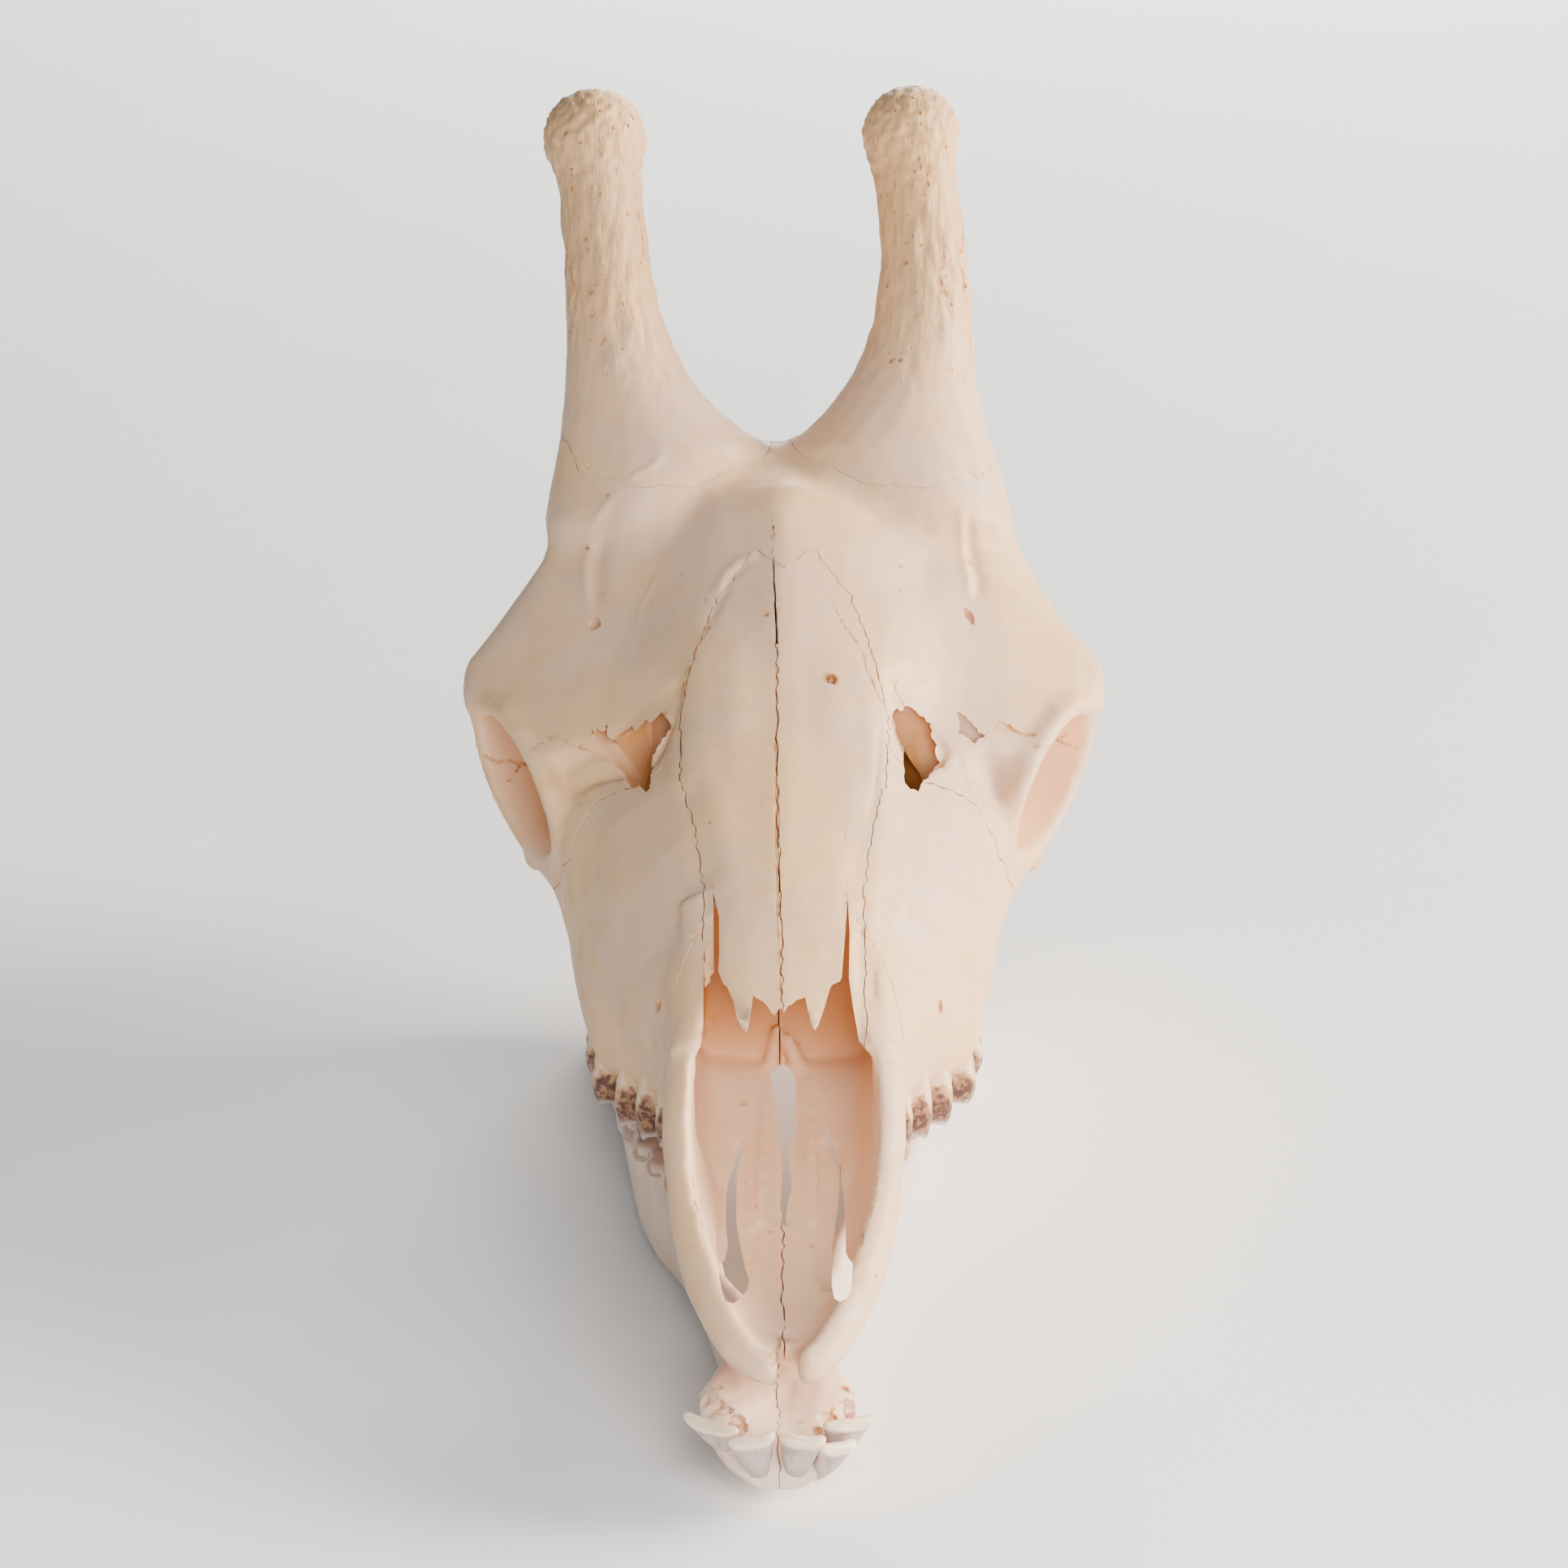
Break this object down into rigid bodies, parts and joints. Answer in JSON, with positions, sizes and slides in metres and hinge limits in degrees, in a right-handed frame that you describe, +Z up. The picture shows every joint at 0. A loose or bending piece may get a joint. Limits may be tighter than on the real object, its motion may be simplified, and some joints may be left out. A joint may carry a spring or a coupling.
{
  "type": "giraffe skull",
  "caption": "Life-size giraffe skull with ossicones, cheek teeth and lower jaw, parted along its sutures, resting on the jaw.",
  "frame": {"origin": "on the floor, under the centre of the bounding box", "axes": "+Z up, +Y from the muzzle towards the back of the head, +X to the animal's left"},
  "size_m": [0.2866, 0.6078, 0.4511],
  "materials": {
    "cranium": "matte bleached bone",
    "ossicone_right": "rough pitted bone",
    "ossicone_left": "rough pitted bone",
    "nasal_right": "matte bleached bone",
    "nasal_left": "matte bleached bone",
    "maxilla_right": "matte bleached bone, dark stained teeth",
    "maxilla_left": "matte bleached bone, dark stained teeth",
    "premaxilla_right": "matte bleached bone",
    "premaxilla_left": "matte bleached bone",
    "mandible_right": "matte bleached bone",
    "mandible_left": "matte bleached bone"
  },
  "bodies": {
    "root": {"cranium": "cranium", "ossicone_right": "ossicone_right", "ossicone_left": "ossicone_left", "nasal_right": "nasal_right", "nasal_left": "nasal_left", "maxilla_right": "maxilla_right", "maxilla_left": "maxilla_left", "premaxilla_right": "premaxilla_right", "premaxilla_left": "premaxilla_left", "mandible_right": "mandible_right", "mandible_left": "mandible_left"}
  },
  "joints": []
}
